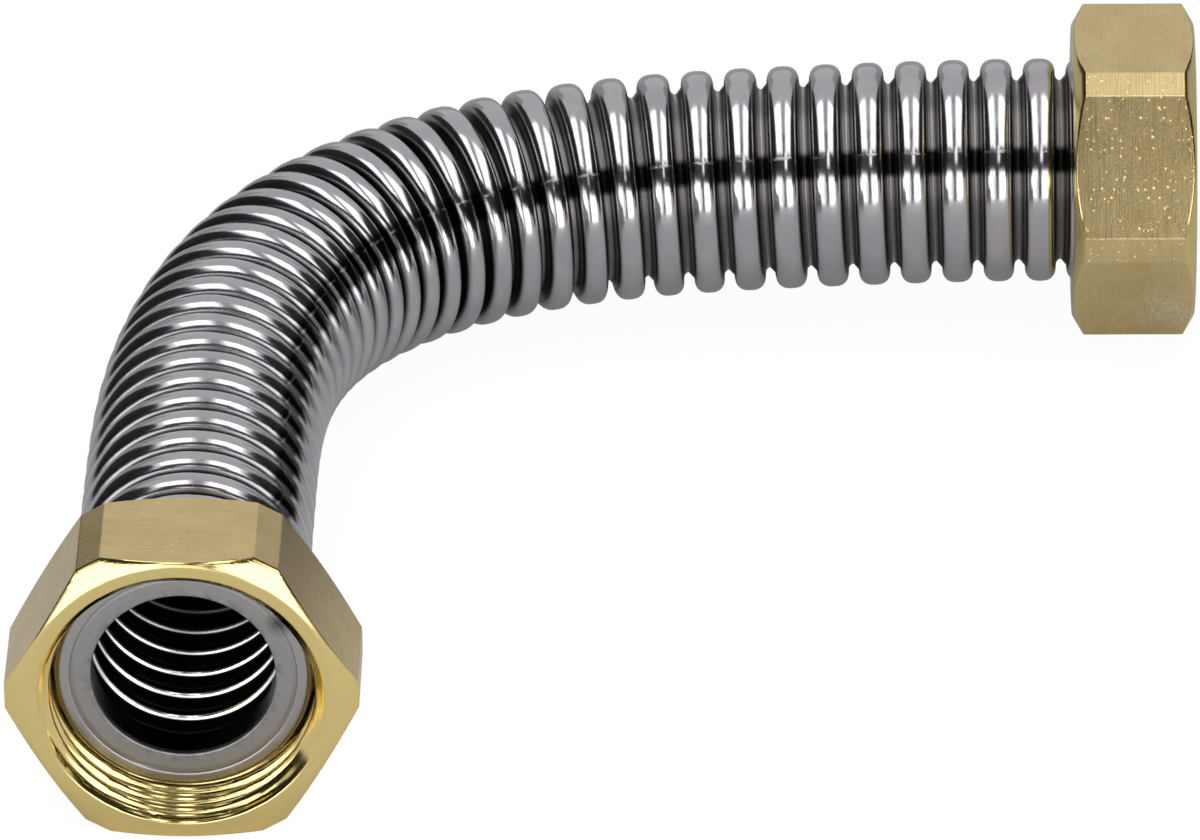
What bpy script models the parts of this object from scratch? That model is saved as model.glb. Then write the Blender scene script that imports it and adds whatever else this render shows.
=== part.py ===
# Short corrugated stainless steel hose with a loose brass union nut on each formed end.
# It is bent through a right angle, lies on the flats of its nuts and sags a little in its bend.
# Metres, +Z up. The front nut's mouth faces -Y and the rear nut's mouth faces +X.

import math

import bmesh
import bpy
import numpy as np

# Hose section
HOSE_OUTSIDE = 0.0223  # diameter over the crests
CORRUGATION_DEPTH = 0.0022
SHEET = 0.0003
CREST_WIDTH = 0.00315
CREST_TOP = 0.0016  # width of the crest's highest part
CREST_ROUNDING = 0.0010  # how far a crest's rounded shoulders fall before its walls begin
CREST_WALL = 0.00045  # thickness of the wall at a crest's top, where forming gathers the sheet

# Gap between neighbouring crests, measured on the centre line
FRONT_GAP = 0.00091
BEND_GAP = 0.00062
REAR_GAP = 0.00106

# Formed flange at each end of the hose
FLANGE_THICKNESS = 0.0016
FLANGE_ROUND = 0.0004  # rounding of the rim
INNER_BAND = 0.0014  # width of the face's inner band, next to the bore
INNER_BAND_DROP = 0.0002  # how far that band stands back from the sealing face
FRONT_NECK = 0.0042  # from the flange's back to the first crest
REAR_NECK = 0.0052  # from the last crest to the flange's back

# Union nut, one size for both ends
NUT_LENGTH = 0.0122
NUT_WALL = 0.0026  # from the thread's crest to a flat
BACK_WALL = 0.0052
CORNER_FLAT = 0.00266  # width of the small flat on each corner of the hexagon
CHAMFER_DROP = 0.0004  # how far inside the flats the turned chamfer starts on each end face
CHAMFER_ANGLE = math.radians(30)
BEVEL = 0.00125  # bevelled entry of the thread, as wide as it is deep

# Fits between the hose and its nuts
RUNNING_CLEARANCE = 0.0003  # round the crests, in the nut's shoulder hole
SHOULDER_OVERLAP = 0.0006  # how far the flange reaches past the edge of that hole
THREAD_CLEARANCE = 0.00035  # round the flange, inside the thread
NUT_PLAY = 0.0010  # from the flange's back to the nut's shoulder

# Route of the centre line between the backs of the nuts: straight, lean, bend, sweep, straight
BEND_ANGLE = math.radians(90)
FRONT_STRAIGHT = 0.0267
LEAN_RUN = 0.0286
LEAN_RADIUS = 0.0668
TIGHTEN_RUN = 0.0199
BEND_RUN = 0.0070
EASE_RUN = 0.0277
SWEEP_RADIUS = 0.0790
SWEEP_RUN = 0.0169
REAR_STRAIGHT = 0.0274
BEND_DIP = 0.0026  # how far the bend hangs below the axes of the nuts

# Facets and shading
HOSE_SIDES = 16
FLAT_STEPS = 3
ROUTE_STEPS = 4000
HOSE_EDGE = math.radians(60)  # the hose is shaded round up to this angle between facets
NUT_EDGE = math.radians(25)  # and the nut up to this one

# Sizes that follow from the ones above
HOSE_BORE = HOSE_OUTSIDE - 2 * CORRUGATION_DEPTH - 2 * SHEET
SHOULDER_HOLE = HOSE_OUTSIDE + 2 * RUNNING_CLEARANCE
FLANGE_OUTSIDE = SHOULDER_HOLE + 2 * SHOULDER_OVERLAP
THREAD_CREST = FLANGE_OUTSIDE + 2 * THREAD_CLEARANCE
ACROSS_FLATS = THREAD_CREST + 2 * NUT_WALL
FLANGE_RECESS = NUT_LENGTH - BACK_WALL - NUT_PLAY - FLANGE_THICKNESS
FLANGE_BACK = FLANGE_RECESS + FLANGE_THICKNESS


def route():
    """Centre line from mouth to mouth: length on plan, place, heading, climb and pitch at many stations."""
    runs = [
        NUT_LENGTH + FRONT_STRAIGHT,
        LEAN_RUN,
        TIGHTEN_RUN,
        BEND_RUN,
        EASE_RUN,
        SWEEP_RUN,
        REAR_STRAIGHT + NUT_LENGTH,
    ]
    stations = np.concatenate([[0.0], np.cumsum(runs)])
    lean = 1 / LEAN_RADIUS
    sweep = 1 / SWEEP_RADIUS
    other_turn = lean * (LEAN_RUN + TIGHTEN_RUN) / 2 + sweep * (EASE_RUN + SWEEP_RUN) / 2
    tightest = (BEND_ANGLE - other_turn) / (TIGHTEN_RUN / 2 + BEND_RUN + EASE_RUN / 2)
    curvature_at = [0, 0, lean, tightest, tightest, sweep, 0, 0]

    length = np.linspace(0, stations[-1], ROUTE_STEPS + 1)
    step = length[1]
    curvature = np.interp(length, stations, curvature_at)
    turned = np.concatenate([[0.0], np.cumsum((curvature[1:] + curvature[:-1]) / 2 * step)])
    heading = math.pi / 2 - turned
    across = np.cos(heading)
    along = np.sin(heading)
    x = np.concatenate([[0.0], np.cumsum((across[1:] + across[:-1]) / 2 * step)])
    y = np.concatenate([[0.0], np.cumsum((along[1:] + along[:-1]) / 2 * step)])
    share = np.clip((length - NUT_LENGTH) / (stations[-1] - 2 * NUT_LENGTH), 0, 1)
    z = -BEND_DIP * np.sin(math.pi * share) ** 2
    climb = np.arctan(np.gradient(z, length))

    gap_stations = [stations[1], stations[3], stations[4], stations[5]]
    gap = np.interp(length, gap_stations, [FRONT_GAP, BEND_GAP, BEND_GAP, REAR_GAP])
    return length, (x, y, z), heading, climb, CREST_WIDTH + gap


def crest_places(length, pitch):
    """Arc length of every crest: whole corrugations that fill the space between the two necks."""
    first = FLANGE_BACK + FRONT_NECK
    last = length[-1] - FLANGE_BACK - REAR_NECK
    rate = 1 / pitch
    phase = np.concatenate([[0.0], np.cumsum((rate[1:] + rate[:-1]) / 2 * np.diff(length))])
    start, stop = np.interp([first, last], length, phase)
    gaps = max(1, round(stop - start))
    return np.interp(np.linspace(start, stop, gaps + 1), phase, length)


def root_places(crests):
    """Arc length of the root before each crest and after the last one."""
    beside = CREST_WIDTH / 2 + SHEET
    between = (crests[1:] + crests[:-1]) / 2
    return np.concatenate([[crests[0] - beside], between, [crests[-1] + beside]])


def both_ends(first_end, middle, end):
    """A profile whose far end repeats its first end, turned round."""
    return first_end + middle + [(end - place, radius) for place, radius in reversed(first_end)]


def outer_profile(crests, end):
    """Outside of the hose as (arc length, radius), from one flange's sealing face to the other's."""
    top = HOSE_OUTSIDE / 2
    root = top - CORRUGATION_DEPTH
    shoulder = top - CREST_ROUNDING
    rim = FLANGE_OUTSIDE / 2
    flange = [
        (FLANGE_RECESS, rim - FLANGE_ROUND),
        (FLANGE_RECESS + FLANGE_ROUND, rim),
        (FLANGE_BACK - FLANGE_ROUND, rim),
        (FLANGE_BACK, rim - FLANGE_ROUND),
        (FLANGE_BACK, root),
    ]
    roots = root_places(crests)
    middle = [(roots[0], root)]
    for crest, following in zip(crests, roots[1:]):
        middle.append((crest - CREST_WIDTH / 2, shoulder))
        middle.append((crest - CREST_TOP / 2, top))
        middle.append((crest + CREST_TOP / 2, top))
        middle.append((crest + CREST_WIDTH / 2, shoulder))
        middle.append((following, root))
    return both_ends(flange, middle, end)


def inner_profile(crests, end):
    """Inside of the hose as (arc length, radius), one sheet's thickness under the outside."""
    bore = HOSE_BORE / 2
    hollow = HOSE_OUTSIDE / 2 - CREST_WALL
    band = bore + INNER_BAND
    lip = FLANGE_RECESS + INNER_BAND_DROP
    flange = [
        (FLANGE_RECESS, band),
        (lip, band - INNER_BAND_DROP),
        (lip, bore),
    ]
    roots = root_places(crests)
    middle = [(roots[0], bore)]
    for crest, following in zip(crests, roots[1:]):
        middle.append((crest - CREST_TOP / 2, hollow))
        middle.append((crest + CREST_TOP / 2, hollow))
        middle.append((following, bore))
    return both_ends(flange, middle, end)


def material(name, colour, roughness):
    """A bare metal."""
    made = bpy.data.materials.new(name)
    made.use_nodes = True
    shader = made.node_tree.nodes["Principled BSDF"]
    shader.inputs["Base Color"].default_value = (*colour, 1)
    shader.inputs["Roughness"].default_value = roughness
    shader.inputs["Metallic"].default_value = 1
    return made


def finished_mesh(name, shape, look, edge):
    """Turns a closed bmesh into a mesh that is shaded round up to the edge angle."""
    bmesh.ops.recalc_face_normals(shape, faces=shape.faces)
    mesh = bpy.data.meshes.new(name)
    shape.to_mesh(mesh)
    shape.free()
    mesh.materials.append(look)
    mesh.shade_smooth()
    mesh.set_sharp_from_angle(angle=edge)
    return mesh


def bridge(shape, rings):
    """Joins each ring of corners to the next with one face for each side."""
    sides = len(rings[0])
    for ring, following in zip(rings, rings[1:] + rings[:1]):
        for side in range(sides):
            turn = (side + 1) % sides
            shape.faces.new((ring[side], ring[turn], following[turn], following[side]))


def hose_mesh(look):
    """Hose with both flanges: a closed wall swept along the route."""
    length, places, heading, climb, pitch = route()
    crests = crest_places(length, pitch)
    outside = outer_profile(crests, length[-1])
    inside = inner_profile(crests, length[-1])
    shape = bmesh.new()
    rings = []
    for place, radius in outside + inside[::-1]:
        centre = [np.interp(place, length, axis) for axis in places]
        way = np.interp(place, length, heading)
        rise = np.interp(place, length, climb)
        ring = []
        for side in range(HOSE_SIDES):
            angle = 2 * math.pi * side / HOSE_SIDES
            sideways = radius * math.cos(angle)
            upward = radius * math.sin(angle)
            corner = (
                centre[0] + sideways * math.sin(way) - upward * math.sin(rise) * math.cos(way),
                centre[1] - sideways * math.cos(way) - upward * math.sin(rise) * math.sin(way),
                centre[2] + upward * math.cos(rise),
            )
            ring.append(shape.verts.new(corner))
        rings.append(ring)
    bridge(shape, rings)
    return finished_mesh("hose", shape, look, HOSE_EDGE)


def hexagon_corners():
    """Directions and radii round the nut's section: six wide flats with a small flat on each corner."""
    wide = math.atan2((ACROSS_FLATS - 2 * CORNER_FLAT) / math.sqrt(3), ACROSS_FLATS)
    corner_reach = ACROSS_FLATS / math.sqrt(3) - CORNER_FLAT / 2 / math.sqrt(3)
    section = []
    for flat in range(6):
        middle = math.radians(90 + 60 * flat)
        for step in range(FLAT_STEPS + 1):
            angle = wide * (2 * step / FLAT_STEPS - 1)
            section.append((middle + angle, ACROSS_FLATS / 2 / math.cos(angle)))
        section.append((middle + math.radians(30), corner_reach))
    return section


def nut_mesh(look):
    """Union nut along its own Y axis, with its mouth at the origin and its shoulder behind."""
    section = hexagon_corners()
    face = ACROSS_FLATS / 2 - CHAMFER_DROP
    slope = math.tan(CHAMFER_ANGLE)
    crest = THREAD_CREST / 2
    shoulder = NUT_LENGTH - BACK_WALL

    def turned(place, radius):
        return [(place, radius) for _ in section]

    def chamfered(end, inward):
        return [(end + inward * (reach - face) * slope, reach) for _, reach in section]

    outline = [
        turned(0, face),
        chamfered(0, 1),
        chamfered(NUT_LENGTH, -1),
        turned(NUT_LENGTH, face),
        turned(NUT_LENGTH, SHOULDER_HOLE / 2),
        turned(shoulder, SHOULDER_HOLE / 2),
        turned(shoulder, crest),
        turned(BEVEL, crest),
        turned(0, crest + BEVEL),
    ]
    shape = bmesh.new()
    rings = []
    for ring in outline:
        corners = []
        for (place, radius), (angle, _) in zip(ring, section):
            corner = (radius * math.cos(angle), place, radius * math.sin(angle))
            corners.append(shape.verts.new(corner))
        rings.append(corners)
    bridge(shape, rings)
    return finished_mesh("union_nut", shape, look, NUT_EDGE)


def add(name, mesh, place, turn):
    """Puts a mesh in the scene under its own name."""
    thing = bpy.data.objects.new(name, mesh)
    thing.location = place
    thing.rotation_euler = (0, 0, turn)
    bpy.context.scene.collection.objects.link(thing)
    return thing


def world_corners(things):
    """Every mesh corner of the given objects in world space."""
    bpy.context.view_layer.update()
    return np.array([thing.matrix_world @ corner.co for thing in things for corner in thing.data.vertices])


def main():
    for old in list(bpy.data.objects):
        bpy.data.objects.remove(old)
    steel = material("stainless_steel", (0.62, 0.61, 0.62), 0.18)
    brass = material("brass", (0.71, 0.56, 0.29), 0.34)

    _, (x, y, _), heading, _, _ = route()
    nut = nut_mesh(brass)
    height = ACROSS_FLATS / 2
    things = [
        add("hose", hose_mesh(steel), (0, 0, height), 0),
        add("front_union_nut", nut, (0, 0, height), 0),
        add("rear_union_nut", nut, (x[-1], y[-1], height), heading[-1] + math.pi / 2),
    ]
    corners = world_corners(things)
    middle = (corners.min(axis=0) + corners.max(axis=0)) / 2
    for thing in things:
        thing.location.x -= middle[0]
        thing.location.y -= middle[1]


main()
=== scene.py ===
import math

import bmesh
import bpy
import numpy as np
from mathutils import Matrix, Vector


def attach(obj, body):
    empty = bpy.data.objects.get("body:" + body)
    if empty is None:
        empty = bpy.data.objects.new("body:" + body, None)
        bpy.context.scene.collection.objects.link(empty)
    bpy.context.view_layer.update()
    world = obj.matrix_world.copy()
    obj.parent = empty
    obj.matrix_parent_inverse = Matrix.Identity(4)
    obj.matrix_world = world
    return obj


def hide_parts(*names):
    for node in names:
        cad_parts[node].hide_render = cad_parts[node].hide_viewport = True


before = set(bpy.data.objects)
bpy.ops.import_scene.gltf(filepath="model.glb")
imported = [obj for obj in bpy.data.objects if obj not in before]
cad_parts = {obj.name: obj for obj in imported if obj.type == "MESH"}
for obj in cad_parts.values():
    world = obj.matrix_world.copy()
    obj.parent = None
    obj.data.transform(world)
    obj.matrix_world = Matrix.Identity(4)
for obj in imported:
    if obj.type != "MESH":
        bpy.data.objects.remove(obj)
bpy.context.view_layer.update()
mm = 0.001


# Node helpers

def newTree(label, sockets):
    tree = bpy.data.node_groups.new(label, "GeometryNodeTree")
    tree.interface.new_socket("Geometry", in_out="INPUT", socket_type="NodeSocketGeometry")
    for socketName, kind in sockets:
        tree.interface.new_socket(socketName, in_out="INPUT", socket_type="NodeSocket" + kind)
    tree.interface.new_socket("Geometry", in_out="OUTPUT", socket_type="NodeSocketGeometry")
    return tree


def addNode(tree, kind, inputs=(), **settings):
    node = tree.nodes.new(kind)
    for setting, value in settings.items():
        setattr(node, setting, value)
    for key, value in dict(inputs).items():
        if isinstance(value, bpy.types.NodeSocket):
            tree.links.new(value, node.inputs[key])
        else:
            node.inputs[key].default_value = value
    return node


def calc(tree, operation, *values, clamp=False):
    node = addNode(tree, "ShaderNodeMath", dict(enumerate(values)), operation=operation, use_clamp=clamp)
    return node.outputs[0]


def added(tree, *values):
    total = values[0]
    for value in values[1:]:
        total = calc(tree, "ADD", total, value)
    return total


def times(tree, *values):
    total = values[0]
    for value in values[1:]:
        total = calc(tree, "MULTIPLY", total, value)
    return total


def without(tree, share):
    return calc(tree, "SUBTRACT", 1.0, share)


def blended(tree, share, first, second):
    return added(tree, times(tree, first, without(tree, share)), times(tree, second, share))


def diagonal(tree, across, up):
    return calc(tree, "SQRT", added(tree, times(tree, across, across), times(tree, up, up)))


def apartFrom(tree, value, middle):
    return calc(tree, "ABSOLUTE", calc(tree, "SUBTRACT", value, middle))


def combined(tree, x, y, z):
    return addNode(tree, "ShaderNodeCombineXYZ", {"X": x, "Y": y, "Z": z}).outputs[0]


def separated(tree, vector):
    return addNode(tree, "ShaderNodeSeparateXYZ", {0: vector}).outputs


def namedValue(tree, name):
    reader = addNode(tree, "GeometryNodeInputNamedAttribute", {"Name": name}, data_type="FLOAT")
    return reader.outputs["Attribute"]


def stored(tree, geometry, name, value, kind):
    return addNode(tree, "GeometryNodeStoreNamedAttribute", {
        "Geometry": geometry, "Name": name, "Value": value,
    }, data_type=kind, domain="POINT").outputs[0]


def finished(tree, geometry, look):
    real = addNode(tree, "GeometryNodeRealizeInstances", {"Geometry": geometry}).outputs[0]
    painted = addNode(tree, "GeometryNodeSetMaterial", {"Geometry": real, "Material": look}).outputs[0]
    addNode(tree, "NodeGroupOutput", {"Geometry": painted})
    return arranged(tree)


def arranged(tree):
    for place, node in enumerate(tree.nodes):
        node.location = (220 * (place // 6), -230 * (place % 6))
    return tree


def withTree(thing, tree, values):
    modifier = thing.modifiers.new(tree.name, "NODES")
    modifier.node_group = tree
    for item in tree.interface.items_tree:
        if item.in_out == "INPUT" and item.name in values:
            modifier[item.identifier] = values[item.name]
    graph = bpy.context.evaluated_depsgraph_get()
    graph.update()
    made = bpy.data.meshes.new_from_object(
        thing.evaluated_get(graph), preserve_all_data_layers=True, depsgraph=graph)
    thing.modifiers.clear()
    old = thing.data
    thing.data = made
    bpy.data.meshes.remove(old)
    return thing


def linked(label, mesh):
    thing = bpy.data.objects.new(label, mesh)
    bpy.context.scene.collection.objects.link(thing)
    return thing


# Centre line of the hose, the same as in the CAD: straight, lean, bend, sweep, straight

route = {
    "frontMouth": (-40.1263 * mm, -58.651 * mm, 15 * mm),
    "rearMouth": (56.6789 * mm, 42.0984 * mm, 15 * mm),
    "runs": [38.9 * mm, 28.6 * mm, 19.9 * mm, 7.0 * mm, 27.7 * mm, 16.9 * mm, 39.6 * mm],
    "leanRadius": 66.8 * mm,
    "sweepRadius": 79.0 * mm,
    "bend": math.radians(90),
    "level": 12.2 * mm,  # length held level in each nut
    "dip": 2.6 * mm,  # how far the bend hangs below the nuts' axes
    "stations": 4000,
}

hose = {
    "crestRadius": 11.15 * mm,
    "crestHalf": 1.575 * mm,  # half a crest's width, and the radius of its round top
    "crestPower": 2.6,  # 2 is a round top, more is flatter
    "rootDepth": 0.625 * mm,  # how far a root dips below the crests' sides
    "sheet": 0.3 * mm,
    "frontGap": 0.91 * mm,  # between crests on the front leg
    "bendGap": 0.62 * mm,
    "rearGap": 1.06 * mm,
    "firstCrest": 10.2 * mm,  # from the front mouth
    "lastCrest": 11.2 * mm,  # from the rear mouth
    "outerSteps": (14, 8),  # rings over a crest and over a root
    "innerSteps": (7, 6),
    "sides": 64,
    "mergeDistance": 0.0005 * mm,
    "sharpAngle": math.radians(50),
    "face": 4.4 * mm,  # from the mouth to the sealing face
    "flangeThickness": 1.6 * mm,
    "rimRadius": 12.05 * mm,
    "rimRound": 0.5 * mm,
    "bandDrop": 0.2 * mm,  # the inner band of the face stands back
    "grooveRadius": 10.55 * mm,
    "grooveDepth": 0.05 * mm,
    "lipRound": 0.18 * mm,
    "endRoot": 0.4 * mm,  # half root between an outermost crest and its neck
    "seamAngle": math.radians(39),  # the tube's weld, above the inside of the bend
}


def plannedRoute():
    runs = route["runs"]
    marks = np.concatenate([[0.0], np.cumsum(runs)])
    lean = 1 / route["leanRadius"]
    sweep = 1 / route["sweepRadius"]
    otherTurn = lean * (runs[1] + runs[2]) / 2 + sweep * (runs[4] + runs[5]) / 2
    tightest = (route["bend"] - otherTurn) / (runs[2] / 2 + runs[3] + runs[4] / 2)
    reach = np.linspace(0, marks[-1], route["stations"] + 1)
    step = reach[1]

    def summed(values):
        return np.concatenate([[0.0], np.cumsum((values[1:] + values[:-1]) / 2 * step)])

    heading = math.pi / 2 - summed(np.interp(reach, marks, [0, 0, lean, tightest, tightest, sweep, 0, 0]))
    gap = np.interp(reach, [marks[1], marks[3], marks[4], marks[5]],
                    [hose["frontGap"], hose["bendGap"], hose["bendGap"], hose["rearGap"]])
    pitch = 2 * hose["crestHalf"] + gap
    share = np.clip((reach - route["level"]) / (marks[-1] - 2 * route["level"]), 0, 1)
    height = route["frontMouth"][2] - route["dip"] * np.sin(math.pi * share) ** 2
    return {
        "reach": reach,
        "x": route["frontMouth"][0] + summed(np.cos(heading)),
        "y": route["frontMouth"][1] + summed(np.sin(heading)),
        "z": height,
        "heading": heading,
        "climb": np.arctan(np.gradient(height, reach)),
        "phase": summed(1 / pitch),
        "end": marks[-1],
    }


def crestPlaces(path):
    outermost = [hose["firstCrest"], path["end"] - hose["lastCrest"]]
    start, stop = np.interp(outermost, path["reach"], path["phase"])
    count = max(1, round(stop - start))
    return np.interp(np.linspace(start, stop, count + 1), path["phase"], path["reach"])


def arc(centre, radius, start, stop, steps):
    turns = [math.radians(start + (stop - start) * step / steps) for step in range(steps + 1)]
    return [(centre[0] + radius * math.cos(turn), centre[1] + radius * math.sin(turn)) for turn in turns]


def flangeOutside():
    # From the sealing face over the rim to the neck, as (reach, radius)
    face, rim, roundness = hose["face"], hose["rimRadius"], hose["rimRound"]
    back = face + hose["flangeThickness"]
    neck = hose["crestRadius"] - hose["crestHalf"] - hose["rootDepth"]
    groove = hose["grooveRadius"]
    return (
        [(face, groove + 0.2 * mm), (face, groove + 0.35 * mm), (face, rim - roundness - 0.1 * mm)]
        + arc((face + roundness, rim - roundness), roundness, 180, 90, 5)
        + arc((back - roundness, rim - roundness), roundness, 90, 0, 5)
        + [(back, neck + 0.5 * mm)]
        + arc((back + 0.3 * mm, neck + 0.3 * mm), 0.3 * mm, 180, 270, 3)
    )


def flangeInside():
    # From the bore over the lip to the groove, as (reach, radius)
    bore = hose["crestRadius"] - hose["crestHalf"] - hose["rootDepth"] - hose["sheet"]
    band = hose["face"] + hose["bandDrop"]
    lip = hose["lipRound"]
    groove = hose["grooveRadius"]
    bottom = band + hose["grooveDepth"]
    return (
        [(band + 3 * lip, bore), (band + lip + 0.1 * mm, bore)]
        + arc((band + lip, bore + lip), lip, 270, 180, 5)
        + [(band, bore + lip + 0.1 * mm), (band, groove - 0.3 * mm), (band, groove - 0.2 * mm)]
        + [(bottom, groove - 0.06 * mm), (bottom, groove + 0.02 * mm)]
        + [(hose["face"] + 0.06 * mm, groove + 0.12 * mm)]
    )


def bellowsRings(crests, inside):
    # Crests and roots as (reach, swing): swing is 1 at a crest's top, 0 at its sides and -1 in a root
    crestSteps, rootSteps = hose["innerSteps"] if inside else hose["outerSteps"]
    half = hose["crestHalf"] - (hose["sheet"] if inside else 0)
    margin = hose["crestHalf"] + hose["endRoot"]
    between = (crests[1:] + crests[:-1]) / 2
    between = np.concatenate([[crests[0] - margin], between, [crests[-1] + margin]])
    flat = 2 / hose["crestPower"]
    rings = []
    for crest, before, after in zip(crests, between, between[1:]):
        for step in range(rootSteps // 2):
            turn = math.pi / 2 * step / (rootSteps / 2)
            edge = crest - half
            rings.append((edge - (edge - before) * math.cos(turn), -math.cos(turn)))
        for step in range(crestSteps + 1):
            turn = math.pi * (step / crestSteps - 0.5)
            across, height = math.sin(turn), max(math.cos(turn), 0.0)
            rings.append((crest + half * math.copysign(abs(across) ** flat, across), height ** flat))
        for step in range(1, rootSteps // 2):
            turn = math.pi / 2 * step / (rootSteps / 2)
            edge = crest + half
            rings.append((edge + (after - edge) * (1 - math.cos(turn)), -math.sin(turn)))
    rings.append((between[-1], -1.0))
    return rings


def corrugatedTree():
    tree = newTree("corrugatedTube", [
        ("Sides", "Int"), ("Wall Radius", "Float"), ("Crest Height", "Float"),
        ("Root Depth", "Float"), ("Sheet", "Float"), ("Material", "Material"),
    ])
    given = addNode(tree, "NodeGroupInput").outputs
    counter = addNode(tree, "GeometryNodeAttributeDomainSize", {"Geometry": given["Geometry"]})
    ringCount = counter.outputs["Point Count"]
    across = calc(tree, "ADD", given["Sides"], 1.0)
    grid = addNode(tree, "GeometryNodeMeshGrid", {
        "Vertices X": calc(tree, "ADD", ringCount, 1.0),
        "Vertices Y": across,
    }).outputs["Mesh"]
    index = addNode(tree, "GeometryNodeInputIndex").outputs[0]
    row = calc(tree, "FLOOR", calc(tree, "DIVIDE", calc(tree, "ADD", index, 0.5), across))
    side = calc(tree, "SUBTRACT", index, calc(tree, "MULTIPLY", row, across))
    ring = calc(tree, "MODULO", row, ringCount)

    def sampled(value, kind):
        return addNode(tree, "GeometryNodeSampleIndex", {
            "Geometry": given["Geometry"], "Value": value, "Index": ring,
        }, data_type=kind).outputs["Value"]

    def ringValue(name):
        return sampled(namedValue(tree, name), "FLOAT")

    place = sampled(addNode(tree, "GeometryNodeInputPosition").outputs[0], "FLOAT_VECTOR")
    swing = ringValue("swing")
    inside = ringValue("inside")
    sheet = times(tree, given["Sheet"], inside)
    crestRise = calc(tree, "SUBTRACT", given["Crest Height"], sheet)
    rise = times(tree, calc(tree, "MAXIMUM", swing, 0.0), crestRise)
    dip = times(tree, calc(tree, "MINIMUM", swing, 0.0), added(tree, given["Root Depth"], sheet))
    bellows = added(tree, given["Wall Radius"], added(tree, rise, dip))
    plain = ringValue("plainRadius")
    radius = blended(tree, calc(tree, "GREATER_THAN", plain, 0.0), bellows, plain)

    turn = times(tree, calc(tree, "DIVIDE", side, given["Sides"]), 2 * math.pi)
    sideways = times(tree, radius, calc(tree, "COSINE", turn))
    upward = times(tree, radius, calc(tree, "SINE", turn))
    heading = ringValue("heading")
    climb = ringValue("climb")
    ahead = calc(tree, "COSINE", heading)
    aside = calc(tree, "SINE", heading)
    back = times(tree, upward, calc(tree, "SINE", climb))
    offset = combined(
        tree,
        calc(tree, "SUBTRACT", times(tree, sideways, aside), times(tree, back, ahead)),
        times(tree, added(tree, times(tree, sideways, ahead), times(tree, back, aside)), -1.0),
        times(tree, upward, calc(tree, "COSINE", climb)),
    )
    where = addNode(tree, "ShaderNodeVectorMath", {0: place, 1: offset}, operation="ADD").outputs[0]
    straightened = combined(tree, sideways, ringValue("reach"), upward)
    marked = stored(tree, grid, "hoseSpot", straightened, "FLOAT_VECTOR")
    marked = stored(tree, marked, "insideWall", inside, "FLOAT")
    swept = addNode(tree, "GeometryNodeSetPosition", {"Geometry": marked, "Position": where}).outputs[0]
    closed = addNode(tree, "GeometryNodeMergeByDistance", {
        "Geometry": swept, "Distance": hose["mergeDistance"],
    }).outputs[0]
    smooth = addNode(tree, "GeometryNodeSetShadeSmooth", {"Geometry": closed}).outputs[0]
    return finished(tree, smooth, given["Material"])


def makeHose(look):
    path = plannedRoute()
    crests = crestPlaces(path)
    rings = []  # reach, swing, inside, plain radius

    def mirrored(points):
        return [(path["end"] - reach, radius) for reach, radius in reversed(points)]

    rings += [(reach, 0, 0, radius) for reach, radius in flangeOutside()]
    rings += [(reach, swing, 0, 0) for reach, swing in bellowsRings(crests, False)]
    rings += [(reach, 0, 0, radius) for reach, radius in mirrored(flangeOutside())]
    rings += [(reach, 0, 1, radius) for reach, radius in mirrored(flangeInside())]
    rings += [(reach, swing, 1, 0) for reach, swing in reversed(bellowsRings(crests, True))]
    rings += [(reach, 0, 1, radius) for reach, radius in flangeInside()]
    rings = np.array(rings)
    x, y, z, heading, climb = [np.interp(rings[:, 0], path["reach"], path[key])
                               for key in ("x", "y", "z", "heading", "climb")]
    mesh = bpy.data.meshes.new("corrugatedHose")
    mesh.from_pydata(np.column_stack([x, y, z]).tolist(), [], [])
    values = {
        "reach": rings[:, 0], "swing": rings[:, 1], "inside": rings[:, 2], "plainRadius": rings[:, 3],
        "heading": heading, "climb": climb,
    }
    for label, numbers in values.items():
        mesh.attributes.new(label, "FLOAT", "POINT").data.foreach_set("value", numbers.astype(np.float32))
    thing = withTree(linked("corrugatedHose", mesh), corrugatedTree(), {
        "Sides": hose["sides"],
        "Wall Radius": hose["crestRadius"] - hose["crestHalf"],
        "Crest Height": hose["crestHalf"],
        "Root Depth": hose["rootDepth"],
        "Sheet": hose["sheet"],
        "Material": look,
    })
    thing.data.set_sharp_from_angle(angle=hose["sharpAngle"])
    print("hose", len(crests), "crests", len(rings), "rings", len(thing.data.polygons), "faces")
    return thing


# Union nuts

nut = {
    "acrossFlats": 30.0 * mm,
    "length": 12.2 * mm,
    "cornerFlat": 2.66 * mm,
    "edgeRound": 0.07 * mm,
    "guard": 0.16 * mm,  # a line of corners beside each edge keeps the flats flat
    "faceRadius": 14.6 * mm,  # where the turned chamfer starts
    "chamferSlope": math.tan(math.radians(30)),
    "threadCrest": 12.4 * mm,
    "bevel": 1.1 * mm,
    "shoulder": 7.0 * mm,  # from the mouth to the wall behind the flange
    "shoulderHole": 11.45 * mm,
    "flatSteps": 12,
    "threadPitch": 1.814 * mm,
    "threadDepth": 0.8 * mm,
    "ringsPerPitch": 12,
    "relief": 0.6 * mm,  # plain wall between the thread and the shoulder
    "threadFade": 0.5 * mm,  # over which the thread runs out
    "threadFlats": (0.1, 0.9),  # where the slopes of its wave begin and end
    "sharpAngle": math.radians(38),
}


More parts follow.
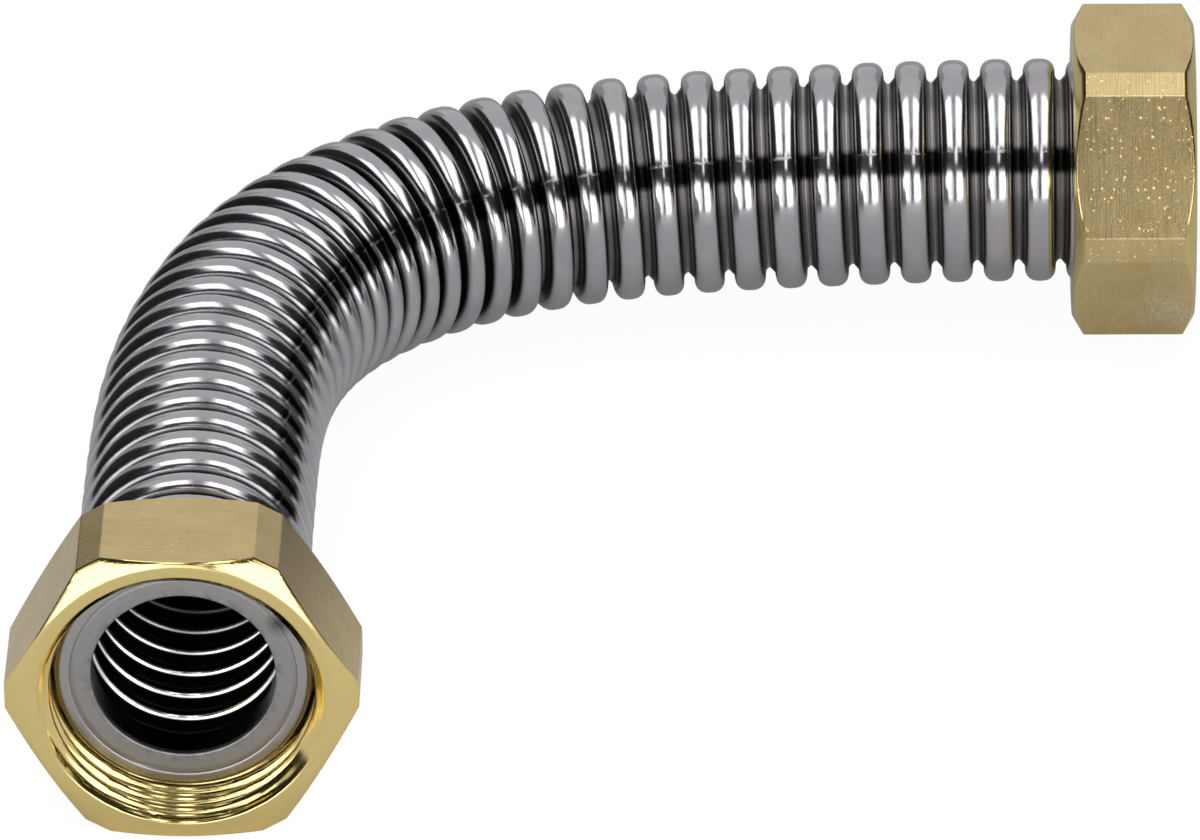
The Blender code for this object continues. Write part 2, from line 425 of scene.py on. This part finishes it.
def nutSection():
    # Corners round the hexagon as (angle, radius), with a small flat on each corner
    apothem = nut["acrossFlats"] / 2
    half = (nut["acrossFlats"] - 2 * nut["cornerFlat"]) / 2 / math.sqrt(3)
    small = nut["cornerFlat"] / 2
    cornerApothem = nut["acrossFlats"] / math.sqrt(3) - nut["cornerFlat"] / 2 / math.sqrt(3)
    edge, guard = nut["edgeRound"], nut["guard"]
    section = []

    def along(middle, distance, offset):
        section.append((middle + math.atan2(offset, distance), math.hypot(distance, offset)))

    for flat in range(6):
        middle = math.radians(90 + 60 * flat)
        along(middle, apothem, edge - half)
        inner = half - guard
        for step in range(nut["flatSteps"] + 1):
            along(middle, apothem, inner * (2 * step / nut["flatSteps"] - 1))
        along(middle, apothem, half - edge)
        along(middle, apothem - edge * 0.18, half - edge * 0.1)
        middle += math.radians(30)
        for offset in (edge - small, guard - small, small - guard, small - edge):
            along(middle, cornerApothem, offset)
        middle += math.radians(30)
        along(middle, apothem - edge * 0.18, edge * 0.1 - half)
    return section


def threadTree():
    tree = newTree("cutThread", [
        ("Pitch", "Float"), ("Depth", "Float"), ("Crest Radius", "Float"), ("Material", "Material"),
    ])
    given = addNode(tree, "NodeGroupInput").outputs
    position = addNode(tree, "GeometryNodeInputPosition").outputs[0]
    parts = separated(tree, position)
    turn = calc(tree, "DIVIDE", calc(tree, "ARCTAN2", parts["Z"], parts["X"]), 2 * math.pi)
    phase = added(tree, calc(tree, "DIVIDE", parts["Y"], given["Pitch"]), turn)
    saw = calc(tree, "FRACT", added(tree, phase, 10.0))
    wave = apartFrom(tree, times(tree, saw, 2.0), 1.0)
    slopeStart, slopeEnd = nut["threadFlats"]
    shaped = addNode(tree, "ShaderNodeMapRange", {
        "Value": wave, "From Min": slopeStart, "From Max": slopeEnd,
    }, interpolation_type="SMOOTHSTEP").outputs[0]
    wall = namedValue(tree, "threadWall")
    cut = added(tree, given["Crest Radius"], times(tree, given["Depth"], times(tree, shaped, wall)))
    radius = diagonal(tree, parts["X"], parts["Z"])
    onWall = calc(tree, "GREATER_THAN", wall, 0.0)
    growth = calc(tree, "DIVIDE", calc(tree, "MAXIMUM", radius, cut), radius)
    growth = added(tree, 1.0, times(tree, onWall, calc(tree, "SUBTRACT", growth, 1.0)))
    moved = combined(tree, times(tree, parts["X"], growth), parts["Y"], times(tree, parts["Z"], growth))
    threaded = addNode(tree, "GeometryNodeSetPosition", {
        "Geometry": given["Geometry"], "Position": moved,
    }).outputs[0]
    spot = addNode(tree, "GeometryNodeInputPosition").outputs[0]
    return finished(tree, stored(tree, threaded, "nutSpot", spot, "FLOAT_VECTOR"), given["Material"])


def nutBlank(label):
    # The nut along its own Y axis, with its mouth at the origin: rings are (places and radii,
    # turned, threaded)
    section = nutSection()
    face, slope, length = nut["faceRadius"], nut["chamferSlope"], nut["length"]
    rings = []

    def turned(place, radius, threaded=0.0):
        rings.append(([(place, radius)] * len(section), 1.0, threaded))

    def chamfered(end, inward, share, lift, isTurned):
        # share is how far out on the cone, lift how far past its edge
        ring = []
        for _, reach in section:
            radius = face + (reach - face) * share if share < 1 else reach
            place = (radius - face) * slope + lift
            ring.append((end + inward * place, radius))
        rings.append((ring, isTurned, 0.0))

    crest, bevel, shoulder = nut["threadCrest"], nut["bevel"], nut["shoulder"]
    cone = ((0.15, 0, 1.0), (0.6, 0, 1.0), (0.93, 0, 1.0), (1.0, 0.05 * mm, 0.5), (1.0, 0.18 * mm, 0.0))
    turned(0.02 * mm, crest + bevel)
    turned(0, crest + bevel + 0.06 * mm)
    turned(0, crest + bevel + 0.2 * mm)
    turned(0, face - 0.16 * mm)
    turned(0, face - 0.05 * mm)
    for share, lift, isTurned in cone:
        chamfered(0, 1, share, lift, isTurned)
    rings.append(([(length / 2, reach) for _, reach in section], 0.0, 0.0))
    for share, lift, isTurned in reversed(cone):
        chamfered(length, -1, share, lift, isTurned)
    hole = nut["shoulderHole"]
    turned(length, face - 0.05 * mm)
    turned(length, face - 0.16 * mm)
    turned(length, hole + 0.45 * mm)
    turned(length, hole + 0.3 * mm)
    turned(length - 0.25 * mm, hole + 0.02 * mm)
    turned(length - 0.4 * mm, hole)
    turned(shoulder + 0.2 * mm, hole)
    turned(shoulder + 0.05 * mm, hole + 0.03 * mm)
    turned(shoulder, hole + 0.1 * mm)
    turned(shoulder, crest - 0.1 * mm)
    turned(shoulder - 0.05 * mm, crest)
    wallTop, wallEnd = shoulder - nut["relief"], 0.06 * mm
    count = round((wallTop - wallEnd) / (nut["threadPitch"] / nut["ringsPerPitch"]))
    for step in range(count + 1):
        place = wallTop + (wallEnd - wallTop) * step / count
        fade = min(1.0, (wallTop - place) / nut["threadFade"])
        turned(place, max(crest, crest + bevel - place), max(fade, 0.001))

    mesh = bpy.data.meshes.new(label)
    shape = bmesh.new()
    loops = []
    marks = []
    for ring, isTurned, threaded in rings:
        loop = []
        for (place, radius), (angle, _) in zip(ring, section):
            loop.append(shape.verts.new((radius * math.cos(angle), place, radius * math.sin(angle))))
            marks.append((isTurned, threaded))
        loops.append(loop)
    sides = len(section)
    for loop, following in zip(loops, loops[1:] + loops[:1]):
        for side in range(sides):
            after = (side + 1) % sides
            shape.faces.new((loop[side], loop[after], following[after], following[side]))
    bmesh.ops.recalc_face_normals(shape, faces=shape.faces)
    shape.to_mesh(mesh)
    shape.free()
    for column, name in enumerate(("turned", "threadWall")):
        values = np.array([mark[column] for mark in marks], np.float32)
        mesh.attributes.new(name, "FLOAT", "POINT").data.foreach_set("value", values)
    mesh.shade_smooth()
    return mesh


def makeNut(label, mouth, turn, look, tree):
    thing = withTree(linked(label, nutBlank(label)), tree, {
        "Pitch": nut["threadPitch"],
        "Depth": nut["threadDepth"],
        "Crest Radius": nut["threadCrest"],
        "Material": look,
    })
    thing.data.transform(Matrix.Translation(mouth) @ Matrix.Rotation(turn, 4, "Z"))
    thing.data.set_sharp_from_angle(angle=nut["sharpAngle"])
    print(label, len(thing.data.polygons), "faces")
    return thing


# Metals

steel = {
    "crest": (0.60, 0.59, 0.61),
    "crestCloud": (0.54, 0.52, 0.56),
    # painted shade on the sides of the corrugations, also used for the darker patches at the flange lips
    "wall": (0.10, 0.096, 0.097),
    "root": (0.55, 0.53, 0.52),
    # painted highlight on the ridges in the bore, and painted shade in its valleys
    "paintedRidgeHighlight": (0.95, 0.94, 0.94),
    "paintedBoreShade": (0.008, 0.0078, 0.0085),
    "flange": (0.46, 0.45, 0.45),
    "flangeBand": (0.40, 0.39, 0.39),
    "heat": (0.07, 0.075, 0.085),
    "seam": (0.70, 0.68, 0.66),
    "crestEdge": (10.1 * mm, 10.9 * mm),  # radii between which a side with painted shade turns into a bright crest
    "rootEdge": (9.02 * mm, 9.3 * mm),  # and a root into a side with painted shade
    "ridgeInner": (8.82 * mm, 8.9 * mm),  # the painted highlight on each ridge in the bore, where it starts
    "ridgeOuter": (9.14 * mm, 9.24 * mm),  # and where it ends
    "ridgeFade": (21 * mm, 31 * mm),  # from the mouth, over which the painted highlight fades
    "ridgeLeft": 0.06,  # share of the painted highlight that is left beyond that
    "faceDepth": (0.9 * mm, 0.7 * mm),  # how far back the sealing face's own look reaches
    "bandEdge": (-0.25 * mm, 0.15 * mm),  # from the groove
    "wornEdge": (8.9 * mm, 9.7 * mm),
    "worn": (0.5, 0.05),  # share of wear at the lip and away from it
    "heatSpot": (9.15 * mm, 5.7 * mm),  # across and up on the sealing faces
    "heatEdge": (0.7 * mm, 2.0 * mm),
    "heatRagged": 0.9 * mm,
    "heatShare": 0.85,
    "paintedReflection": 0.12,  # share of the light that is left in the painted dark reflection along the weld
    "paintedReflectionAngle": math.radians(35.5),
    "paintedReflectionEdge": (math.radians(6), math.radians(10)),
    "rearReflection": 0.3,  # how much of the painted dark reflection shows on the crests of the rear leg
    "rearFrom": (88 * mm, 112 * mm),  # where the rear leg takes over, from the front mouth
    "seamEdge": (0.006, 0.018),  # radians from the middle of the weld
    "seamWander": 0.03,
    "seamShare": 0.35,
    "roughness": 0.10,
    "sideRoughness": 0.16,  # added on the sides, roots and bore
    "ridgeRoughness": -0.14,
    "flangeRoughness": 0.26,
    "bumpDepth": 0.006 * mm,
}

brass = {
    "barColour": (0.83, 0.65, 0.33),
    "barDark": (0.74, 0.57, 0.27),
    "barLine": (0.62, 0.47, 0.21),
    "turnedColour": (0.93, 0.74, 0.31),
    "barRoughness": 0.12,
    "barStreaks": 0.16,  # roughness added by the drawn lines
    "turnedRoughness": 0.09,
    "turnedRings": 0.08,
    "lineScale": 5200.0,  # lines left by drawing and turning, to the metre
    "dentSpacing": 0.5 * mm,
    "dentSize": (0.02, 0.26),  # in cells
    "dentHeight": 4.5,
    "frost": (0.98, 0.9, 0.66),
    "frostSpot": (-11.5 * mm, 3.0 * mm, -9.5 * mm),  # a dull patch low beside the mouth
    "frostEdge": (3.0 * mm, 6.5 * mm),
    "frostRagged": 3 * mm,
    "frostShare": 0.75,
    "bumpDepth": 0.01 * mm,
}


def newMaterial(label):
    look = bpy.data.materials.new(label)
    look.use_nodes = True
    tree = look.node_tree
    shader = tree.nodes["Principled BSDF"]
    shader.inputs["Metallic"].default_value = 1.0
    return look, tree, shader


def scaled(tree, vector, scale):
    return addNode(tree, "ShaderNodeVectorMath", {0: vector, 1: scale}, operation="MULTIPLY").outputs[0]


def noise(tree, vector, scale, detail=3.0, roughness=0.5):
    return addNode(tree, "ShaderNodeTexNoise", {
        "Vector": vector, "Scale": scale, "Detail": detail, "Roughness": roughness,
    }).outputs["Fac"]


def ramp(tree, value, low, high, toLow=0.0, toHigh=1.0):
    return addNode(tree, "ShaderNodeMapRange", {
        "Value": value, "From Min": low, "From Max": high, "To Min": toLow, "To Max": toHigh,
    }).outputs[0]


def mixed(tree, share, first, second):
    node = addNode(tree, "ShaderNodeMix", {"Factor": share}, data_type="RGBA")
    for socket, value in ((node.inputs[6], first), (node.inputs[7], second)):
        if isinstance(value, bpy.types.NodeSocket):
            tree.links.new(value, socket)
        else:
            socket.default_value = (*value, 1)
    return node.outputs[2]


def bumped(tree, height, distance):
    return addNode(tree, "ShaderNodeBump", {
        "Height": height, "Distance": distance, "Strength": 1.0,
    }).outputs[0]


def attribute(tree, name, output="Fac"):
    return addNode(tree, "ShaderNodeAttribute", attribute_name=name).outputs[output]


def dressed(tree, shader, colour, rough, normal):
    tree.links.new(colour, shader.inputs["Base Color"])
    tree.links.new(rough, shader.inputs["Roughness"])
    tree.links.new(normal, shader.inputs["Normal"])


def steelLook():
    look, tree, shader = newMaterial("formedSteel")
    spot = attribute(tree, "hoseSpot", "Vector")
    inside = attribute(tree, "insideWall")
    parts = separated(tree, spot)
    radius = diagonal(tree, parts["X"], parts["Z"])
    cloud = noise(tree, spot, 260.0, 3.0)
    grain = noise(tree, spot, 5200.0, 2.0, 0.6)
    drawn = noise(tree, scaled(tree, spot, (900, 5200, 900)), 1.0, 3.0, 0.55)
    blotch = noise(tree, spot, 900.0, 4.0, 0.65)

    # Corrugations: bright crests, painted shade on the sides, dull roots, and painted shade in the bore with
    # a painted highlight on each ridge
    crest = ramp(tree, radius, *steel["crestEdge"])
    colour = mixed(tree, ramp(tree, cloud, 0.35, 0.65), steel["crestCloud"], steel["crest"])
    colour = mixed(tree, ramp(tree, grain, 0.5, 0.68, 0.0, 0.35), colour, steel["crestCloud"])
    # painted shade on the sides between each root and crest; the roots keep their own colour
    rootsAndShadedSides = mixed(tree, ramp(tree, radius, *steel["rootEdge"]), steel["root"], steel["wall"])
    colour = mixed(tree, crest, rootsAndShadedSides, colour)
    end = sum(route["runs"])
    fromEnd = calc(tree, "MINIMUM", parts["Y"], calc(tree, "SUBTRACT", end, parts["Y"]))
    # painted highlight: a bright line on each ridge of the bore, fading away from the mouths, over painted
    # shade
    ridgeHighlight = times(
        tree,
        ramp(tree, radius, *steel["ridgeInner"]),
        ramp(tree, radius, *steel["ridgeOuter"], 1.0, 0.0),
        ramp(tree, fromEnd, *steel["ridgeFade"], 1.0, steel["ridgeLeft"]),
    )
    colour = mixed(tree, inside, colour, mixed(tree, ridgeHighlight, steel["paintedBoreShade"], steel["paintedRidgeHighlight"]))
    rough = added(tree, steel["roughness"], times(tree, cloud, 0.1))
    rough = added(tree, rough, ramp(tree, crest, 0.0, 1.0, steel["sideRoughness"], 0.0))
    rough = added(tree, rough, times(tree, ridgeHighlight, inside, steel["ridgeRoughness"]))

    # Flange faces: a rougher inner band, a worn lip and a heat mark
    deep, shallow = steel["faceDepth"]
    onFlange = ramp(tree, fromEnd, hose["face"] + deep, hose["face"] + shallow)
    bandIn, bandOut = steel["bandEdge"]
    onBand = ramp(tree, radius, hose["grooveRadius"] + bandIn, hose["grooveRadius"] + bandOut, 1.0, 0.0)
    worn = times(tree, ramp(tree, blotch, 0.4, 0.7), ramp(tree, radius, *steel["wornEdge"], *steel["worn"]))
    flange = mixed(tree, onBand, steel["flange"], steel["flangeBand"])
    flange = mixed(tree, worn, flange, steel["wall"])
    aside = calc(tree, "SUBTRACT", parts["X"], steel["heatSpot"][0])
    above = calc(tree, "SUBTRACT", parts["Z"], steel["heatSpot"][1])
    away = added(tree, diagonal(tree, aside, above), times(tree, blotch, steel["heatRagged"]))
    heat = ramp(tree, away, *steel["heatEdge"], steel["heatShare"], 0.0)
    flange = mixed(tree, heat, flange, steel["heat"])
    colour = mixed(tree, onFlange, colour, flange)
    flangeRough = added(tree, steel["flangeRoughness"], times(tree, onBand, times(tree, blotch, 0.25)))
    rough = blended(tree, onFlange, rough, flangeRough)

    # The weld line along the tube, broken up, and a painted dark reflection in a band beside it
    wander = times(tree, calc(tree, "SUBTRACT", blotch, 0.5), steel["seamWander"])
    angle = added(tree, calc(tree, "ARCTAN2", parts["Z"], parts["X"]), wander)
    fromSeam = apartFrom(tree, angle, hose["seamAngle"])
    seam = times(tree, ramp(tree, fromSeam, *steel["seamEdge"], 1.0, 0.0), ramp(tree, blotch, 0.45, 0.6))
    seam = times(tree, seam, without(tree, onFlange))
    # painted dark reflection: a dark band along the tube beside the weld, kept off the flanges and the bore
    # and weaker on the rear leg's crests
    fromReflection = apartFrom(tree, angle, steel["paintedReflectionAngle"])
    paintedReflection = ramp(tree, fromReflection, *steel["paintedReflectionEdge"], 1 - steel["paintedReflection"], 0.0)
    paintedReflection = times(tree, paintedReflection, without(tree, calc(tree, "MAXIMUM", onFlange, inside)))
    onRear = ramp(tree, parts["Y"], *steel["rearFrom"], 0.0, 1 - steel["rearReflection"])
    paintedReflection = times(tree, paintedReflection, without(tree, times(tree, crest, onRear)))
    colour = mixed(tree, paintedReflection, colour, (0.0, 0.0, 0.0))
    colour = mixed(tree, times(tree, seam, times(tree, crest, steel["seamShare"])), colour, steel["seam"])
    rough = added(tree, rough, times(tree, seam, 0.2))

    height = added(tree, times(tree, grain, 0.4), times(tree, drawn, 0.6))
    height = added(tree, height, times(tree, seam, 0.9))
    height = added(tree, height, times(tree, onFlange, times(tree, onBand, blotch)))
    dressed(tree, shader, colour, rough, bumped(tree, height, steel["bumpDepth"]))
    return look


def brassLook():
    look, tree, shader = newMaterial("machinedBrass")
    spot = attribute(tree, "nutSpot", "Vector")
    isTurned = attribute(tree, "turned")
    parts = separated(tree, spot)
    radius = diagonal(tree, parts["X"], parts["Z"])
    drawn = noise(tree, scaled(tree, spot, (220, brass["lineScale"], 220)), 1.0, 4.0, 0.6)
    cloud = noise(tree, spot, 300.0, 4.0, 0.6)
    grain = noise(tree, spot, 4200.0, 2.0)
    turn = calc(tree, "ARCTAN2", parts["Z"], parts["X"])
    fine = brass["lineScale"]
    rings = combined(tree, times(tree, radius, fine), times(tree, parts["Y"], fine), times(tree, turn, 0.8))
    lathe = noise(tree, rings, 1.0, 2.0)

    # Bar flats with drawn lines, and a dull patch low on the front
    bar = mixed(tree, ramp(tree, cloud, 0.35, 0.7), brass["barColour"], brass["barDark"])
    bar = mixed(tree, ramp(tree, drawn, 0.52, 0.7, 0.0, 0.5), bar, brass["barLine"])
    fromSpot = addNode(tree, "ShaderNodeVectorMath", {
        0: spot, 1: brass["frostSpot"],
    }, operation="DISTANCE").outputs["Value"]
    fromSpot = added(tree, fromSpot, times(tree, cloud, brass["frostRagged"]))
    frost = ramp(tree, fromSpot, *brass["frostEdge"], brass["frostShare"], 0.0)
    bar = mixed(tree, times(tree, frost, ramp(tree, grain, 0.45, 0.6)), bar, brass["frost"])
    colour = mixed(tree, isTurned, bar, brass["turnedColour"])
    barRough = added(tree, brass["barRoughness"], times(tree, drawn, brass["barStreaks"]))
    turnedRough = added(tree, brass["turnedRoughness"], times(tree, lathe, brass["turnedRings"]))
    rough = blended(tree, isTurned, barRough, turnedRough)

    # Small dents from handling, of many sizes and not in every cell
    cells = addNode(tree, "ShaderNodeTexVoronoi", {"Vector": spot, "Scale": 1 / brass["dentSpacing"]}).outputs
    chosen = addNode(tree, "ShaderNodeSeparateColor", {0: cells["Color"]}).outputs
    size = ramp(tree, chosen["Red"], 0.2, 1.0, *brass["dentSize"])
    ragged = added(tree, cells["Distance"], times(tree, calc(tree, "SUBTRACT", grain, 0.5), 0.12))
    dent = calc(tree, "SUBTRACT", 1.0, calc(tree, "DIVIDE", ragged, size), clamp=True)
    barHeight = added(tree, times(tree, drawn, 0.5), times(tree, grain, 0.3))
    barHeight = calc(tree, "SUBTRACT", barHeight, times(tree, dent, brass["dentHeight"]))
    height = blended(tree, isTurned, barHeight, lathe)
    dressed(tree, shader, colour, rough, bumped(tree, height, brass["bumpDepth"]))
    return look


steelMetal = steelLook()
brassMetal = brassLook()

hoseTube = makeHose(steelMetal)
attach(hoseTube, "hose")
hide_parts("hose")

threadCut = threadTree()
frontNut = makeNut("frontUnionNut", route["frontMouth"], 0.0, brassMetal, threadCut)
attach(frontNut, "front_nut")
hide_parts("front_union_nut")
rearNut = makeNut("rearUnionNut", route["rearMouth"], math.radians(90), brassMetal, threadCut)
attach(rearNut, "rear_nut")
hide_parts("rear_union_nut")


# Studio

studio = {
    "target": (-1.950 * mm, -7.139 * mm, 15 * mm),
    "distance": 1.16332,
    "elevation": math.radians(30.449),
    "azimuth": math.radians(1.422),
    "roll": math.radians(-0.9035),
    "sensor": 36,
    "lens": 12022.3 / 1200 * 36,  # the photo's focal length in pixels, over its width
    "panelDistance": 0.8,
    "panelSteps": 12,
    "worldLight": 0.25,  # what the world gives to the floor
    "worldPale": 0.6,  # what the metal sees of it
    "floorFront": 0.62,
    "floorShadedBack": 0.34,
    "floorLift": 0.85,
    "floorWhite": 1.13,
    "floorGloss": 0.16,  # share of the white that the metal sees
    "floorReach": 6.0,
    "floorFade": (-80 * mm, 60 * mm),  # from the front tone to the darker back tone, painted shade behind the object
    "floorDrop": -0.05 * mm,
}


def makeCamera():
    azimuth, elevation, roll = studio["azimuth"], studio["elevation"], studio["roll"]
    level = math.cos(elevation)
    back = Vector((math.sin(azimuth) * level, -math.cos(azimuth) * level, math.sin(elevation)))
    right = Vector((math.cos(azimuth), math.sin(azimuth), 0))
    up = back.cross(right)
    across = right * math.cos(roll) + up * math.sin(roll)
    upright = up * math.cos(roll) - right * math.sin(roll)
    data = bpy.data.cameras.new("camera")
    camera = linked("camera", data)
    data.sensor_width = studio["sensor"]
    data.lens = studio["lens"]
    data.clip_start, data.clip_end = 0.01, 20
    turn = Matrix((across, upright, back)).transposed().to_4x4()
    camera.matrix_world = Matrix.Translation(Vector(studio["target"]) + back * studio["distance"]) @ turn
    bpy.context.scene.camera = camera


def glowing(label, mesh, radiance):
    thing = linked(label, mesh)
    look = bpy.data.materials.new(label)
    look.use_nodes = True
    tree = look.node_tree
    tree.nodes.remove(tree.nodes["Principled BSDF"])
    glow = addNode(tree, "ShaderNodeEmission", {"Color": (1, 1, 1, 1), "Strength": radiance})
    tree.links.new(glow.outputs[0], tree.nodes["Material Output"].inputs["Surface"])
    mesh.materials.append(look)
    thing.visible_camera = False
    thing.visible_shadow = False


def panel(label, elevations, tilts, radiance, distance=None, centre=None):
    # A curved sheet round the object, lit or black. Elevation runs from the front horizon
    # over the top to the back, and tilt leans to the right
    distance = distance or studio["panelDistance"]
    centre = Vector(centre or studio["target"])
    steps = studio["panelSteps"]
    corners = []
    for row in range(steps + 1):
        rise = math.radians(elevations[0] + (elevations[1] - elevations[0]) * row / steps)
        for column in range(steps + 1):
            tilt = math.radians(tilts[0] + (tilts[1] - tilts[0]) * column / steps)
            upright = math.cos(tilt)
            way = Vector((math.sin(tilt), -upright * math.cos(rise), upright * math.sin(rise)))
            corners.append(centre + way * distance)
    across = steps + 1
    faces = [(a, a + 1, a + 1 + across, a + across)
             for row in range(steps) for a in range(row * across, row * across + steps)]
    mesh = bpy.data.meshes.new(label)
    mesh.from_pydata(corners, [], faces)
    glowing(label, mesh, radiance)


def paleWorld():
    world = bpy.data.worlds.new("paleStudio")
    bpy.context.scene.world = world
    world.use_nodes = True
    tree = world.node_tree
    background = tree.nodes["Background"]
    path = addNode(tree, "ShaderNodeLightPath").outputs
    white = calc(tree, "ADD", path["Is Camera Ray"], path["Is Transmission Ray"], clamp=True)
    seen = added(tree, white, times(tree, path["Is Glossy Ray"], studio["worldPale"]))
    other = without(tree, calc(tree, "ADD", white, path["Is Glossy Ray"], clamp=True))
    strength = added(tree, seen, times(tree, other, studio["worldLight"]))
    tree.links.new(strength, background.inputs["Strength"])
    background.inputs["Color"].default_value = (1, 1, 1, 1)


def paleFloor():
    mesh = bpy.data.meshes.new("floor")
    reach = studio["floorReach"]
    corners = [(-reach, -reach, 0), (reach, -reach, 0), (reach, reach, 0), (-reach, reach, 0)]
    mesh.from_pydata(corners, [], [(0, 1, 2, 3)])
    floor = linked("floor", mesh)
    floor.location.z = studio["floorDrop"]
    look, tree, shader = newMaterial("floor")
    shader.inputs["Metallic"].default_value = 0.0
    place = addNode(tree, "ShaderNodeTexCoord").outputs["Object"]
    reachBack = separated(tree, place)["Y"]
    # painted shade: the floor darkens towards the back, behind the object, seen mostly in the metal's
    # reflections
    shade = ramp(tree, reachBack, *studio["floorFade"], studio["floorFront"], studio["floorShadedBack"])
    tree.links.new(shade, shader.inputs["Base Color"])
    shader.inputs["Roughness"].default_value = 0.9
    shader.inputs["Specular IOR Level"].default_value = 0.1
    path = addNode(tree, "ShaderNodeLightPath").outputs
    white = addNode(tree, "ShaderNodeEmission", {"Color": (1, 1, 1, 1), "Strength": studio["floorWhite"]})
    seen = calc(tree, "ADD", path["Is Camera Ray"], path["Is Transmission Ray"], clamp=True)
    gloss = times(tree, path["Is Glossy Ray"], studio["floorGloss"])
    lift = added(tree, times(tree, seen, studio["floorLift"]), gloss)
    blend = addNode(tree, "ShaderNodeMixShader", {0: lift, 1: shader.outputs[0], 2: white.outputs[0]})
    tree.links.new(blend.outputs[0], tree.nodes["Material Output"].inputs["Surface"])
    mesh.materials.append(look)


bpy.context.scene.view_settings.view_transform = "Standard"
makeCamera()
paleWorld()
paleFloor()

# Lamps and black flags round the object, as elevations, tilts, radiance and a nearer distance
lamps = {
    "sides": ((-1, "Left", 3.5, 28, 52), (1, "Right", 6, 32, 43)),  # tilts of each side's edges
    "topSpan": (57, 117),
    "top": 2.4,
    "topInner": 1.1,  # the top lamps fade towards their edges
    "topOuter": 0.9,
    "low": 2.6,
    "bridge": 3.0,
    "mouth": 1.3,
}
for side, name, gapEdge, topEnd, lowEnd in lamps["sides"]:
    panel("top" + name, lamps["topSpan"], (side * (gapEdge + 3), side * topEnd), lamps["top"])
    panel("topInner" + name, lamps["topSpan"], (side * gapEdge, side * (gapEdge + 3)), lamps["topInner"])
    panel("topOuter" + name, lamps["topSpan"], (side * topEnd, side * (topEnd + 5)), lamps["topOuter"])
    panel("low" + name, (-5, 31), (side * 8, side * lowEnd), lamps["low"])
    panel("bridge" + name, (40, 58), (side * 4, side * 11), lamps["bridge"], 0.79)
    panel("band" + name, (31, 57), (side * 11, side * 85), 0.01, 0.75)
    panel("bandLow" + name, (31, 40), (side * 3, side * 12), 0.05, 0.76)
    panel("bandSide" + name, (24, 66), (side * 40, side * 85), 0.01, 0.74)
    panel("flag" + name, (-12, 125), (side * 66, side * 95), 0.02, 0.78)
    panel("flagTop" + name, (57, 125), (side * (topEnd + 5), side * 80), 0.02, 0.79)
    panel("flagBack" + name, (125, 182), (side * 34, side * 95), 0.03, 0.78)
    panel("backHorizon" + name, (156, 182), (side * 18, side * 34), 0.36)
panel("topGap", (78, 117), (-3.5, 6), 0.42)
panel("topGapFront", (50, 78), (-3.5, 6), 0.08)
panel("mouthLight", (2, 31), (-7, 7), lamps["mouth"], 270 * mm, route["frontMouth"])
panel("mouthShade", (60, 88), (-26, 26), 0.03, 140 * mm, route["frontMouth"])
panel("cameraSide", (-8, 31), (-7, 7), 0.08, 0.72)
panel("cameraTop", (31, 50), (-4, 4), 0.08, 0.72)
print("studio ready")
